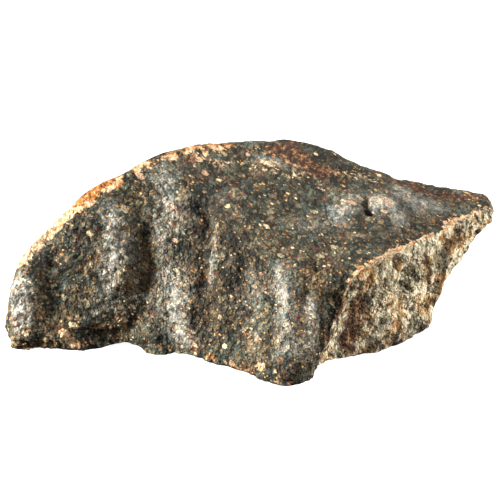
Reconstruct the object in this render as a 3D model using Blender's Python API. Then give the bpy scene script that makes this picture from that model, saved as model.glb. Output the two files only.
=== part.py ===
# A stony meteorite about 102 mm long: one piece, with a dark weathered skin over most of it,
# a freshly broken face at the right front and a low tail on the right.
# It is modelled as it rests: +X along its length, +Y to its back, +Z up, the ground at z = 0
# and the middle of its footprint at the origin. The numbers below are millimetres.

import bmesh
import bpy
import numpy as np

MM = 0.001

# Feature lines run the length of the stone. Each section lists where they pass, as (y, z),
# going round from the crest down the front, under the belly and up the back.
LINES = (
    "crest", "rim", "brow", "shoulder", "cheek", "arris", "chin", "foot",
    "belly_front", "belly_back", "heel", "back", "nape",
)
LEFT_TIP = (-50.6, -2.2, 3.8)
TAIL_TIP = (51.5, 13.4, 22.7)
SECTIONS = {
    -49.8: ((-0.2, 8.6), (-1.6, 8.1), (-2.9, 7.2), (-4, 6), (-4.8, 4.6), (-5.2, 3.2), (-5.4, 1.8),
            (-5.2, 0.3), (-2, 0.4), (0.6, 0.9), (2.4, 2.2), (3, 4.6), (1.9, 7.2)),
    -47.8: ((1.1, 14.8), (-1.0, 13.7), (-3.3, 11.8), (-5.2, 9.6), (-6.8, 7.3), (-8, 4.9), (-8.8, 2.4),
            (-8.5, -0.2), (-4, -0.3), (2, 0.2), (7, 1), (8, 6), (5.5, 12.3)),
    -45: ((3.2, 19), (0.9, 17.2), (-1.9, 13.6), (-4.2, 10.5), (-6.1, 7.7), (-7.6, 5), (-8.7, 2.4),
          (-8.6, -0.2), (-4, -0.4), (3.6, 0.2), (9.6, 0.9), (11.5, 7.2), (8, 15.4)),
    -41: ((6, 21.9), (3.2, 19.6), (-0.4, 15.2), (-3, 11.7), (-5.1, 8.6), (-7, 5.4), (-8.2, 2.6),
          (-8.2, 0.1), (-4, -0.5), (5.2, 0.2), (13, 1), (15.2, 8.4), (11, 18.4)),
    -34: ((8.7, 27.9), (6, 25.6), (2.0, 20.1), (-1.6, 15), (-4.2, 10.6), (-6.5, 6.5), (-8.2, 3),
          (-8.8, -0.2), (-4, -0.5), (7, 0.3), (17, 1), (20, 10), (15, 22)),
    -25: ((12.3, 31.6), (9.5, 29.2), (4.8, 22.9), (1.0, 17), (-2, 12), (-4.8, 7.3), (-6.8, 3.9),
          (-7.2, 0.7), (-2, 1.5), (9, 0.6), (21, 1), (25, 12), (19.5, 26)),
    -20: ((14.3, 33.7), (11.6, 31.7), (7.6, 25.5), (3.0, 18.8), (-1.8, 12.6), (-6.4, 7), (-9.8, 3),
          (-11, 0), (-4, 1.2), (10, 1), (23, 0.8), (27.5, 13), (22, 28.5)),
    -14: ((16.7, 35.0), (12.8, 30.6), (7.6, 24.2), (2.2, 17.8), (-2.5, 12.2), (-6.4, 7.4), (-9.2, 3.5),
          (-10.4, 0.2), (-3, 2), (11, 1.5), (24.5, 0.4), (29.5, 14), (24, 30)),
    -10: ((17.7, 35.5), (12.8, 30.8), (6.9, 25.2), (0.2, 18.6), (-4.5, 12.9), (-8.5, 7.9), (-11.2, 3.8),
          (-12.8, 0.1), (-5, 2.4), (11, 1.8), (25.4, 0.2), (30.5, 14), (25, 30.6)),
    -4: ((18.9, 36.1), (12.8, 31.6), (4.8, 26), (-3.0, 20.6), (-8.6, 14.4), (-13.2, 8.4), (-16, 3.8),
         (-17.8, 0), (-8, 2.8), (11, 2), (26.8, 0), (32, 14.5), (26.3, 31)),
    2: ((20, 36.3), (13, 31.9), (3.6, 25.4), (-6, 19.2), (-13, 12.7), (-18.2, 7.3), (-22.2, 3),
        (-24, 0), (-12, 2.4), (10, 2.2), (27.5, -0.4), (32.5, 14.5), (27, 31)),
    8: ((20.0, 35.8), (13, 31.6), (3.0, 25.2), (-7.8, 19.2), (-15, 13.2), (-20.8, 7.6), (-25, 3),
        (-27.0, -0.2), (-15, 0.4), (8, 2.2), (27.5, -0.3), (32.5, 14), (27, 30.6)),
    11.5: ((20, 35.4), (12.9, 31.4), (2.8, 25.4), (-8.2, 19.6), (-16, 13.4), (-22.0, 6.6),
           (-23.6, 3), (-24.2, -0.2), (-13, 0.5), (9, 2.1), (27.2, 0), (32.3, 13.8), (26.7, 30)),
    14: ((19.7, 34.9), (12.7, 31.1), (3, 25.7), (-7, 20.3), (-14.8, 14.6), (-17.4, 2.2),
         (-17.2, 0.6), (-17, -0.4), (-8, 0.6), (9, 2), (27, 0.3), (32, 13.5), (26.5, 29.6)),
    15.4: ((19.4, 34.5), (12.4, 30.9), (3.2, 25.9), (-6.2, 20.9), (-14.2, 15.6), (-16, 4.6),
           (-14.6, 2), (-14.8, -0.3), (-6.5, 0.8), (9, 1.8), (26.8, 0.6), (31.8, 13.3), (26.3, 29.2)),
    17.2: ((19.0, 34.1), (12.1, 30.6), (3.4, 26.1), (-5.7, 21.6), (-13.6, 16.8), (-15.4, 9.2),
           (-13.4, 4), (-13.9, -0.2), (-5.6, 0.8), (9, 1.6), (26.5, 0.8), (31.5, 13), (26, 28.7)),
    19.2: ((18.3, 33.3), (11.7, 30.2), (3.5, 26.3), (-5.3, 22.3), (-12.4, 18.8), (-14.7, 13.8),
           (-12, 6), (-13.1, -0.2), (-4.8, 0.4), (9, 1.4), (26, 0.9), (31.3, 13), (25.8, 28)),
    21: ((17.6, 32.6), (11.5, 29.8), (3.4, 26.3), (-5, 22.9), (-10.8, 20.5), (-14, 18.2),
         (-11, 8.5), (-12.3, -0.1), (-4, 0.1), (9, 1.2), (25.5, 1), (31, 13), (25.5, 27.4)),
    25: ((16.3, 30.9), (11, 28.9), (4, 26.1), (-2, 23.8), (-7, 21.6), (-10.9, 19.9), (-9.8, 9.5),
         (-10.4, -0.3), (-3, -0.3), (9, 1), (25, 1.2), (30, 13.5), (25, 26.2)),
    29: ((14.8, 29.4), (11.2, 28.9), (6.5, 27.2), (1.4, 24.8), (-3.2, 22.4), (-7, 20.3), (-6.4, 9.5),
         (-7, -0.3), (0, -0.3), (10, 1), (24, 1.3), (28.8, 13.3), (24.6, 24.8)),
    33: ((19.6, 27.1), (15.3, 27.8), (11, 28.1), (6, 25.4), (1.4, 22.8), (-2.8, 20.8), (-2.8, 9.6),
         (-2.6, 0.0), (3, -0.2), (11, 1), (22, 1.6), (27, 13), (24.5, 23)),
    37: ((20.2, 26.2), (15.6, 26.3), (11, 26), (7.4, 24.4), (4, 22.8), (0.9, 21.4), (0.2, 11),
         (0.8, 1.6), (6, 1.2), (13, 2), (20.5, 4.5), (25.2, 13.5), (23.6, 22)),
    40: ((20, 25.8), (16.6, 25.5), (13, 25), (9.6, 24.2), (6.5, 23.2), (3.5, 21.9), (2.4, 15.5),
         (2.6, 9), (8, 7.6), (14, 8.2), (19.8, 10.5), (23.2, 16), (22.4, 22.4)),
    46: ((17.9, 25.8), (16, 25.7), (14, 25.2), (12.2, 24.7), (10.5, 24), (9, 23.1), (8.2, 19.6),
         (8.4, 16.4), (11.4, 15.4), (14.4, 15.6), (17.4, 17), (19.4, 20), (19, 23.6)),
    50: ((15.6, 25.5), (14.7, 25.6), (13.8, 25.5), (13, 25.2), (12.2, 24.7), (11.5, 24), (10.9, 22),
         (11.2, 20.2), (12.4, 19.5), (13.8, 19.6), (15.2, 20.4), (16.2, 22.2), (16.2, 24.2)),
    51: ((14.6, 24.5), (14.1, 24.6), (13.6, 24.5), (13.1, 24.3), (12.6, 24), (12.2, 23.5), (11.9, 22.4),
         (12, 21.4), (12.6, 20.9), (13.4, 21), (14.3, 21.4), (14.9, 22.4), (15, 23.6)),
}

# How sharp each line is: 0 rolls over softly, 1 is a hard edge. The second value holds
# from BREAK_X on, where the broken face starts and the arris becomes the stone's hardest edge.
BREAK_X = 13.0
SHARPNESS = {
    "crest": (0.35, 0.1), "rim": (0.5, 0.0), "brow": (0.0, 0.1), "shoulder": (0.1, 0.1),
    "cheek": (0.0, 0.0), "arris": (0.0, 0.85), "chin": (0.0, 0.0), "foot": (0.7, 0.7),
    "belly_front": (0.0, 0.0), "belly_back": (0.0, 0.0), "heel": (0.5, 0.5),
    "back": (0.0, 0.0), "nape": (0.3, 0.3),
}

# Swells (positive height) and hollows (negative) on the skin: each runs straight from one
# point to another and fades over its radius.
FORMS = {
    "left_end_ridge": ((-44.4, -2.2, 14.2), (-44.6, -7.2, 6), 2.4, 1.0),
    "left_hollow": ((-40.6, 1.2, 17.6), (-41, -6.3, 6.5), 2.4, -0.8),
    "second_ridge": ((-27.4, 5.4, 24.6), (-26.6, -2.2, 12.5), 2.8, 1.4),
    "second_hollow": ((-22.4, 3.2, 19.2), (-22.4, -6, 6.2), 2.4, -1.0),
    "third_ridge_top": ((-14.6, 10.6, 28.6), (-14.4, 4.6, 21.2), 3.6, 1.5),
    "third_ridge_foot": ((-14.2, -1.8, 13), (-11.6, -10, 4), 3.4, 1.6),
    "third_hollow": ((-8.8, 6.5, 25), (-8.2, -10.2, 6.5), 2.2, -1.4),
    "fourth_ridge": ((-6.6, 1.6, 22), (-6.8, -4.8, 15.2), 1.4, 1.1),
    "fourth_hollow": ((-2.6, -3, 20.5), (-2, -13, 9), 2.8, -1.2),
    "toe_ridge": ((8, -10.4, 17.4), (9, -22.8, 5.5), 2.8, 1.3),
    "toe_groove": ((11, -16.4, 12.2), (11, -23, 4.8), 1.0, -0.6),
    "toe_knuckle": ((13.4, -15.2, 13.8), (12.6, -20, 7), 1.5, 1.0),
    "left_undercut": ((-34.5, -8.8, 2.5), (-28, -7.8, 2.5), 2.0, -0.9),
    "pit_mound": ((19.5, 4.5, 26.8), (27.5, 3.5, 26), 4.0, 0.9),
    "break_hollow": ((22.5, -10.8, 9.5), (22, -11, 3.5), 3.2, -1.5),
    "break_swell": ((28.5, -7, 15), (29, -6.5, 10), 2.8, 1.0),
    "break_dent": ((33, -3, 14), (32, -4, 9.5), 2.0, -1.1),
    "break_foot_swell": ((31.5, -4, 4.5), (25, -8.5, 3), 2.4, 0.7),
    "back_hollow_left": ((-21, 22, 23), (-18, 27, 12), 6.5, -1.7),
    "back_ridge": ((-3, 29, 24), (1, 32, 6), 4.5, 1.4),
    "back_hollow_right": ((14, 30, 22), (16, 32, 12), 6.0, -1.8),
    "heel_swell": ((24, 29, 16), (26, 26, 6), 4.5, 1.0),
    "left_back_hollow": ((-38, 15, 17), (-36, 18, 9), 5.0, -1.1),
    "belly_hollow": ((-14, 6, 1), (10, 2, 1), 7.0, -1.2),
}

# Long soft ripples over the whole skin.
RIPPLES = 26
RIPPLE_LENGTHS = (8.0, 22.0)
RIPPLE_HEIGHT = 0.25
RIPPLE_SEED = 11

# The deep little pit in the top face, cut by an ellipsoid.
PIT_CENTRE = (24.3, 3.9, 26.7)
PIT_RADII = (0.95, 2.3, 1.9)

RING_GAP = 1.95
POINTS_ROUND = 60
GROUND_Z = 0.0


def through(points, sharp, steps):
    """Points on a smooth curve through the given ones, along axis 0, with steps[i] points
    from point i to the next. Each tangent leans toward the nearer neighbour and is
    shortened by that point's sharpness."""
    ahead = points[2:] - points[1:-1]
    behind = points[1:-1] - points[:-2]
    far = np.linalg.norm(ahead, axis=-1, keepdims=True) + 1e-9
    near = np.linalg.norm(behind, axis=-1, keepdims=True) + 1e-9
    lean = behind * far / near + ahead * near / far
    lean /= np.linalg.norm(lean, axis=-1, keepdims=True) + 1e-9
    lean *= (1 - sharp[1:-1])[..., None]
    pieces = []
    for i, count in enumerate(steps):
        start, end = points[i + 1], points[i + 2]
        length = np.linalg.norm(end - start, axis=-1, keepdims=True)
        t = (np.arange(count) / count).reshape((-1,) + (1,) * start.ndim)
        pieces.append(
            (2 * t**3 - 3 * t**2 + 1) * start
            + (3 * t**2 - 2 * t**3) * end
            + (t**3 - 2 * t**2 + t) * lean[i] * length
            + (t**3 - t**2) * lean[i + 1] * length
        )
    return np.concatenate(pieces)


def section_points():
    """The feature lines as an array of points, [section, line, xyz], and their sharpness."""
    points = np.array([
        [(x, y, z) for y, z in ring] for x, ring in SECTIONS.items()
    ], float)
    sharp = np.array([
        [SHARPNESS[line][x > BREAK_X] for line in LINES] for x in SECTIONS
    ], float)
    return points, sharp


def stone_grid(ring_gap, points_round):
    """The stone's surface as rings of points, [ring, point, xyz], without its two tips."""
    points, sharp = section_points()
    tips = [np.tile(tip, (1, len(LINES), 1)) for tip in (LEFT_TIP, TAIL_TIP)]
    lines = np.concatenate([tips[0], points, tips[1]])
    # One more section past each tip gives the first and last stretch its direction.
    lines = np.concatenate([2 * lines[:1] - lines[1:2], lines, 2 * lines[-1:] - lines[-2:-1]])
    edge = np.concatenate([sharp[:1], sharp[:1], sharp, sharp[-1:], sharp[-1:]])
    travel = np.linalg.norm(np.diff(lines[1:-1], axis=0), axis=-1).mean(axis=1)
    steps = np.maximum(1, np.round(travel / ring_gap).astype(int))
    rings = through(lines, np.zeros_like(edge), steps)[1:]
    edge = through(edge[..., None], np.ones_like(edge), steps)[1:, :, 0]

    # Round each ring: the lines take turns, and the ring closes on itself.
    around = np.moveaxis(rings, 1, 0)
    around = np.concatenate([around[-1:], around, around[:2]])
    edge = np.moveaxis(edge, 1, 0)
    edge = np.concatenate([edge[-1:], edge, edge[:2]])
    widths = np.linalg.norm(np.diff(around[1:-1], axis=0), axis=-1).mean(axis=1)
    steps = np.maximum(2, np.round(widths / widths.sum() * points_round).astype(int))
    return np.moveaxis(through(around, edge, steps), 0, 1)


def normals(grid):
    """The outward direction at each point of the closed rings."""
    along = np.gradient(grid, axis=0)
    round_ring = np.roll(grid, -1, axis=1) - np.roll(grid, 1, axis=1)
    outward = np.cross(round_ring, along)
    return outward / (np.linalg.norm(outward, axis=-1, keepdims=True) + 1e-9)


def relief(points):
    """How far the skin stands out at each point: the swells and hollows, then the ripples."""
    height = np.zeros(points.shape[:-1])
    for start, end, radius, rise in FORMS.values():
        start, run = np.array(start, float), np.array(end, float) - np.array(start, float)
        t = np.clip(((points - start) @ run) / (run @ run), 0, 1)
        gap = np.linalg.norm(points - start - t[..., None] * run, axis=-1)
        height += rise * np.exp(-(gap / radius) ** 2)
    random = np.random.default_rng(RIPPLE_SEED)
    heading = random.normal(size=(RIPPLES, 3))
    heading /= np.linalg.norm(heading, axis=1, keepdims=True)
    length = random.uniform(*RIPPLE_LENGTHS, RIPPLES)
    phase = random.uniform(0, 2 * np.pi, RIPPLES)
    waves = np.cos(points @ (heading * 2 * np.pi / length[:, None]).T + phase)
    weight = length / np.sqrt((length**2).sum() / 2)
    return height + RIPPLE_HEIGHT * waves @ weight


def stone_mesh(grid):
    """A closed mesh of quads between the rings, with a fan of triangles at each tip."""
    rings, around = grid.shape[:2]
    bm = bmesh.new()
    verts = [[bm.verts.new(p * MM) for p in ring] for ring in grid]
    left = bm.verts.new(np.array(LEFT_TIP) * MM)
    right = bm.verts.new(np.array(TAIL_TIP) * MM)
    for j in range(around):
        k = (j + 1) % around
        bm.faces.new((left, verts[0][k], verts[0][j]))
        bm.faces.new((right, verts[-1][j], verts[-1][k]))
        for i in range(rings - 1):
            bm.faces.new((verts[i][j], verts[i][k], verts[i + 1][k], verts[i + 1][j]))
    bmesh.ops.recalc_face_normals(bm, faces=bm.faces)
    return bm


def worn_grid(ring_gap, points_round):
    """The stone's rings with the relief raised on them."""
    grid = stone_grid(ring_gap, points_round)
    return grid + normals(grid) * relief(grid)[..., None]


def wear_flats(bm):
    """Cuts off what dips under the ground, which leaves the worn flats the stone rests on."""
    bmesh.ops.bisect_plane(
        bm, geom=bm.verts[:] + bm.edges[:] + bm.faces[:], dist=1e-7,
        plane_co=(0, 0, GROUND_Z * MM), plane_no=(0, 0, -1), clear_outer=True,
    )
    rims = [edge for edge in bm.edges if edge.is_boundary]
    bmesh.ops.holes_fill(bm, edges=rims, sides=0)
    bmesh.ops.triangulate(bm, faces=bm.faces)


def footprint_middle(bm):
    """The middle of the stone's bounding box, at ground level."""
    co = np.array([v.co for v in bm.verts])
    middle = (co.min(axis=0) + co.max(axis=0)) / 2
    return np.array([middle[0], middle[1], 0])


def stone_material():
    """The weathered skin: dark grey-brown, and slightly glossy."""
    material = bpy.data.materials.new("weathered_stone")
    material.use_nodes = True
    shader = material.node_tree.nodes["Principled BSDF"]
    shader.inputs["Base Color"].default_value = (0.13, 0.11, 0.08, 1)
    shader.inputs["Roughness"].default_value = 0.55
    shader.inputs["Metallic"].default_value = 0.0
    return material


def pit_cutter(middle):
    """The ellipsoid that leaves the pit in the top face."""
    mesh = bpy.data.meshes.new("pit_cutter")
    bm = bmesh.new()
    bmesh.ops.create_icosphere(bm, subdivisions=2, radius=MM)
    bmesh.ops.scale(bm, verts=bm.verts, vec=PIT_RADII)
    bm.to_mesh(mesh)
    bm.free()
    cutter = bpy.data.objects.new("pit_cutter", mesh)
    cutter.location = np.array(PIT_CENTRE) * MM - middle
    cutter.hide_render = True
    cutter.display_type = "WIRE"
    bpy.context.scene.collection.objects.link(cutter)
    return cutter


def clear_scene():
    for old in list(bpy.data.objects):
        bpy.data.objects.remove(old, do_unlink=True)


def build():
    clear_scene()
    bm = stone_mesh(worn_grid(RING_GAP, POINTS_ROUND))
    wear_flats(bm)
    middle = footprint_middle(bm)
    bmesh.ops.translate(bm, verts=bm.verts, vec=-middle)
    mesh = bpy.data.meshes.new("meteorite")
    bm.to_mesh(mesh)
    bm.free()
    mesh.materials.append(stone_material())
    mesh.shade_smooth()
    stone = bpy.data.objects.new("meteorite", mesh)
    bpy.context.scene.collection.objects.link(stone)
    pit = stone.modifiers.new("pit", "BOOLEAN")
    pit.operation = "DIFFERENCE"
    pit.object = pit_cutter(middle)
    return stone, middle


build()
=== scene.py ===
import math
import bpy
import numpy as np
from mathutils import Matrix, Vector


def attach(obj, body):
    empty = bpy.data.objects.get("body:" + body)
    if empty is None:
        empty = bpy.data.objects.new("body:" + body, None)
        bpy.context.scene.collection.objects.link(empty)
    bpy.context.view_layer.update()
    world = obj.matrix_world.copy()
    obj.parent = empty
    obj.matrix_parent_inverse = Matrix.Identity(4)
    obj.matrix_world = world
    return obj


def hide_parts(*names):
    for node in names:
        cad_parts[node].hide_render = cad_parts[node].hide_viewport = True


# A stony meteorite: its skin, relief and finish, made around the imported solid
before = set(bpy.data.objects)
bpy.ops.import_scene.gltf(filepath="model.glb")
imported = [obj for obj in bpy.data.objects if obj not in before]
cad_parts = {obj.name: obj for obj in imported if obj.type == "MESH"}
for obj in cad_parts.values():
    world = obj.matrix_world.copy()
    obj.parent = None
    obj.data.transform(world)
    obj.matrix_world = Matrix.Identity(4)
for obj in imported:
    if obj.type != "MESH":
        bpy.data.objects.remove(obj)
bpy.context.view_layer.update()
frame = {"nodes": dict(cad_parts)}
print("frame loaded:", ", ".join(frame["nodes"]))

mm = 0.001  # one millimetre in metres
hair = 1e-9  # keeps a division from meeting zero

# The stone in millimetres. Each section is a slice at one x, and lists where the feature lines
# pass it as (y, z): crest, rim, brow, shoulder, cheek, arris, chin, foot, belly front,
# belly back, heel, back, nape.
stone = {
    "node": "meteorite",
    "slot": "stone",
    "leftTip": (-50.6, -2.2, 3.8),
    "tailTip": (51.5, 13.4, 22.7),
    "sections": {
        -49.8: ((-0.2, 8.6), (-1.6, 8.1), (-2.9, 7.2), (-4, 6), (-4.8, 4.6), (-5.2, 3.2), (-5.4, 1.8),
            (-5.2, 0.3), (-2, 0.4), (0.6, 0.9), (2.4, 2.2), (3, 4.6), (1.9, 7.2)),
        -47.8: ((1.1, 14.8), (-1.0, 13.7), (-3.3, 11.8), (-5.2, 9.6), (-6.8, 7.3), (-8, 4.9), (-8.8, 2.4),
            (-8.5, -0.2), (-4, -0.3), (2, 0.2), (7, 1), (8, 6), (5.5, 12.3)),
        -45: ((3.2, 19), (0.9, 17.2), (-1.9, 13.6), (-4.2, 10.5), (-6.1, 7.7), (-7.6, 5), (-8.7, 2.4),
            (-8.6, -0.2), (-4, -0.4), (3.6, 0.2), (9.6, 0.9), (11.5, 7.2), (8, 15.4)),
        -41: ((6, 21.9), (3.2, 19.6), (-0.4, 15.2), (-3, 11.7), (-5.1, 8.6), (-7, 5.4), (-8.2, 2.6),
            (-8.2, 0.1), (-4, -0.5), (5.2, 0.2), (13, 1), (15.2, 8.4), (11, 18.4)),
        -34: ((8.7, 27.9), (6, 25.6), (2.0, 20.1), (-1.6, 15), (-4.2, 10.6), (-6.5, 6.5), (-8.2, 3),
            (-8.8, -0.2), (-4, -0.5), (7, 0.3), (17, 1), (20, 10), (15, 22)),
        -25: ((12.3, 31.6), (9.5, 29.2), (4.8, 22.9), (1.0, 17), (-2, 12), (-4.8, 7.3), (-6.8, 3.9),
            (-7.2, 0.7), (-2, 1.5), (9, 0.6), (21, 1), (25, 12), (19.5, 26)),
        -20: ((14.3, 33.7), (11.6, 31.7), (7.6, 25.5), (3.0, 18.8), (-1.8, 12.6), (-6.4, 7), (-9.8, 3),
            (-11, 0), (-4, 1.2), (10, 1), (23, 0.8), (27.5, 13), (22, 28.5)),
        -14: ((16.7, 35.0), (12.8, 30.6), (7.6, 24.2), (2.2, 17.8), (-2.5, 12.2), (-6.4, 7.4), (-9.2, 3.5),
            (-10.4, 0.2), (-3, 2), (11, 1.5), (24.5, 0.4), (29.5, 14), (24, 30)),
        -10: ((17.7, 35.5), (12.8, 30.8), (6.9, 25.2), (0.2, 18.6), (-4.5, 12.9), (-8.5, 7.9), (-11.2, 3.8),
            (-12.8, 0.1), (-5, 2.4), (11, 1.8), (25.4, 0.2), (30.5, 14), (25, 30.6)),
        -4: ((18.9, 36.1), (12.8, 31.6), (4.8, 26), (-3.0, 20.6), (-8.6, 14.4), (-13.2, 8.4), (-16, 3.8),
            (-17.8, 0), (-8, 2.8), (11, 2), (26.8, 0), (32, 14.5), (26.3, 31)),
        2: ((20, 36.3), (13, 31.9), (3.6, 25.4), (-6, 19.2), (-13, 12.7), (-18.2, 7.3), (-22.2, 3),
            (-24, 0), (-12, 2.4), (10, 2.2), (27.5, -0.4), (32.5, 14.5), (27, 31)),
        8: ((20.0, 35.8), (13, 31.6), (3.0, 25.2), (-7.8, 19.2), (-15, 13.2), (-20.8, 7.6), (-25, 3),
            (-27.0, -0.2), (-15, 0.4), (8, 2.2), (27.5, -0.3), (32.5, 14), (27, 30.6)),
        11.5: ((20, 35.4), (12.9, 31.4), (2.8, 25.4), (-8.2, 19.6), (-16, 13.4), (-22.0, 6.6),
            (-23.6, 3), (-24.2, -0.2), (-13, 0.5), (9, 2.1), (27.2, 0), (32.3, 13.8), (26.7, 30)),
        14: ((19.7, 34.9), (12.7, 31.1), (3, 25.7), (-7, 20.3), (-14.8, 14.6), (-17.4, 2.2),
            (-17.2, 0.6), (-17, -0.4), (-8, 0.6), (9, 2), (27, 0.3), (32, 13.5), (26.5, 29.6)),
        15.4: ((19.4, 34.5), (12.4, 30.9), (3.2, 25.9), (-6.2, 20.9), (-14.2, 15.6), (-16, 4.6),
            (-14.6, 2), (-14.8, -0.3), (-6.5, 0.8), (9, 1.8), (26.8, 0.6), (31.8, 13.3), (26.3, 29.2)),
        17.2: ((19.0, 34.1), (12.1, 30.6), (3.4, 26.1), (-5.7, 21.6), (-13.6, 16.8), (-15.4, 9.2),
            (-13.4, 4), (-13.9, -0.2), (-5.6, 0.8), (9, 1.6), (26.5, 0.8), (31.5, 13), (26, 28.7)),
        19.2: ((18.3, 33.3), (11.7, 30.2), (3.5, 26.3), (-5.3, 22.3), (-12.4, 18.8), (-14.7, 13.8),
            (-12, 6), (-13.1, -0.2), (-4.8, 0.4), (9, 1.4), (26, 0.9), (31.3, 13), (25.8, 28)),
        21: ((17.6, 32.6), (11.5, 29.8), (3.4, 26.3), (-5, 22.9), (-10.8, 20.5), (-14, 18.2),
            (-11, 8.5), (-12.3, -0.1), (-4, 0.1), (9, 1.2), (25.5, 1), (31, 13), (25.5, 27.4)),
        25: ((16.3, 30.9), (11, 28.9), (4, 26.1), (-2, 23.8), (-7, 21.6), (-10.9, 19.9), (-9.8, 9.5),
            (-10.4, -0.3), (-3, -0.3), (9, 1), (25, 1.2), (30, 13.5), (25, 26.2)),
        29: ((14.8, 29.4), (11.2, 28.9), (6.5, 27.2), (1.4, 24.8), (-3.2, 22.4), (-7, 20.3), (-6.4, 9.5),
            (-7, -0.3), (0, -0.3), (10, 1), (24, 1.3), (28.8, 13.3), (24.6, 24.8)),
        33: ((19.6, 27.1), (15.3, 27.8), (11, 28.1), (6, 25.4), (1.4, 22.8), (-2.8, 20.8), (-2.8, 9.6),
            (-2.6, 0.0), (3, -0.2), (11, 1), (22, 1.6), (27, 13), (24.5, 23)),
        37: ((20.2, 26.2), (15.6, 26.3), (11, 26), (7.4, 24.4), (4, 22.8), (0.9, 21.4), (0.2, 11),
            (0.8, 1.6), (6, 1.2), (13, 2), (20.5, 4.5), (25.2, 13.5), (23.6, 22)),
        40: ((20, 25.8), (16.6, 25.5), (13, 25), (9.6, 24.2), (6.5, 23.2), (3.5, 21.9), (2.4, 15.5),
            (2.6, 9), (8, 7.6), (14, 8.2), (19.8, 10.5), (23.2, 16), (22.4, 22.4)),
        46: ((17.9, 25.8), (16, 25.7), (14, 25.2), (12.2, 24.7), (10.5, 24), (9, 23.1), (8.2, 19.6),
            (8.4, 16.4), (11.4, 15.4), (14.4, 15.6), (17.4, 17), (19.4, 20), (19, 23.6)),
        50: ((15.6, 25.5), (14.7, 25.6), (13.8, 25.5), (13, 25.2), (12.2, 24.7), (11.5, 24), (10.9, 22),
            (11.2, 20.2), (12.4, 19.5), (13.8, 19.6), (15.2, 20.4), (16.2, 22.2), (16.2, 24.2)),
        51: ((14.6, 24.5), (14.1, 24.6), (13.6, 24.5), (13.1, 24.3), (12.6, 24), (12.2, 23.5), (11.9, 22.4),
            (12, 21.4), (12.6, 20.9), (13.4, 21), (14.3, 21.4), (14.9, 22.4), (15, 23.6)),
    },
    # How sharp each line is, left of breakX and from it on: 0 rolls over, 1 is a hard edge
    "breakX": 13.0,
    "sharpness": ((0.35, 0.1), (0.5, 0.0), (0.0, 0.1), (0.1, 0.1), (0.0, 0.0), (0.0, 0.85), (0.0, 0.0),
        (0.7, 0.7), (0.0, 0.0), (0.0, 0.0), (0.5, 0.5), (0.0, 0.0), (0.3, 0.3)),
    "skinTravel": 128.0,  # the way along the skin from tip to tip
    "rings": 345,  # slices of the finished skin along that way
    "pointsRound": 286,  # points round each slice
    "solidRingGap": 1.95,  # the solid's own spacing, which its centring follows
    "solidPointsRound": 60,
}

# Swells (positive height) and hollows (negative): start, end, radius, height
forms = {
    "leftEndRidge": ((-44.4, -2.2, 14.2), (-44.6, -7.2, 6), 2.4, 1.0),
    "leftHollow": ((-40.6, 1.2, 17.6), (-41, -6.3, 6.5), 2.4, -0.8),
    "secondRidge": ((-27.4, 5.4, 24.6), (-26.6, -2.2, 12.5), 2.8, 1.4),
    "secondHollow": ((-22.4, 3.2, 19.2), (-22.4, -6, 6.2), 2.4, -1.0),
    "thirdRidgeTop": ((-14.6, 10.6, 28.6), (-14.4, 4.6, 21.2), 3.6, 1.5),
    "thirdRidgeFoot": ((-14.2, -1.8, 13), (-11.6, -10, 4), 3.4, 1.6),
    "thirdHollow": ((-8.8, 6.5, 25), (-8.2, -10.2, 6.5), 2.2, -1.4),
    "fourthRidge": ((-6.6, 1.6, 22), (-6.8, -4.8, 15.2), 1.4, 1.1),
    "fourthHollow": ((-2.6, -3, 20.5), (-2, -13, 9), 2.8, -1.2),
    "toeRidge": ((8, -10.4, 17.4), (9, -22.8, 5.5), 2.8, 1.3),
    "toeGroove": ((11, -16.4, 12.2), (11, -23, 4.8), 1.0, -0.6),
    "toeKnuckle": ((13.4, -15.2, 13.8), (12.6, -20, 7), 1.5, 1.0),
    "leftUndercut": ((-34.5, -8.8, 2.5), (-28, -7.8, 2.5), 2.0, -0.9),
    "pitMound": ((19.5, 4.5, 26.8), (27.5, 3.5, 26), 4.0, 0.9),
    "breakHollow": ((22.5, -10.8, 9.5), (22, -11, 3.5), 3.2, -1.5),
    "breakSwell": ((28.5, -7, 15), (29, -6.5, 10), 2.8, 1.0),
    "breakDent": ((33, -3, 14), (32, -4, 9.5), 2.0, -1.1),
    "breakFootSwell": ((31.5, -4, 4.5), (25, -8.5, 3), 2.4, 0.7),
    "backHollowLeft": ((-21, 22, 23), (-18, 27, 12), 6.5, -1.7),
    "backRidge": ((-3, 29, 24), (1, 32, 6), 4.5, 1.4),
    "backHollowRight": ((14, 30, 22), (16, 32, 12), 6.0, -1.8),
    "heelSwell": ((24, 29, 16), (26, 26, 6), 4.5, 1.0),
    "leftBackHollow": ((-38, 15, 17), (-36, 18, 9), 5.0, -1.1),
    "bellyHollow": ((-14, 6, 1), (10, 2, 1), 7.0, -1.2),
}
# Seeded waves that run all over the stone
ripples = {"count": 26, "lengths": (8.0, 22.0), "height": 0.25, "seed": 11}


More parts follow.
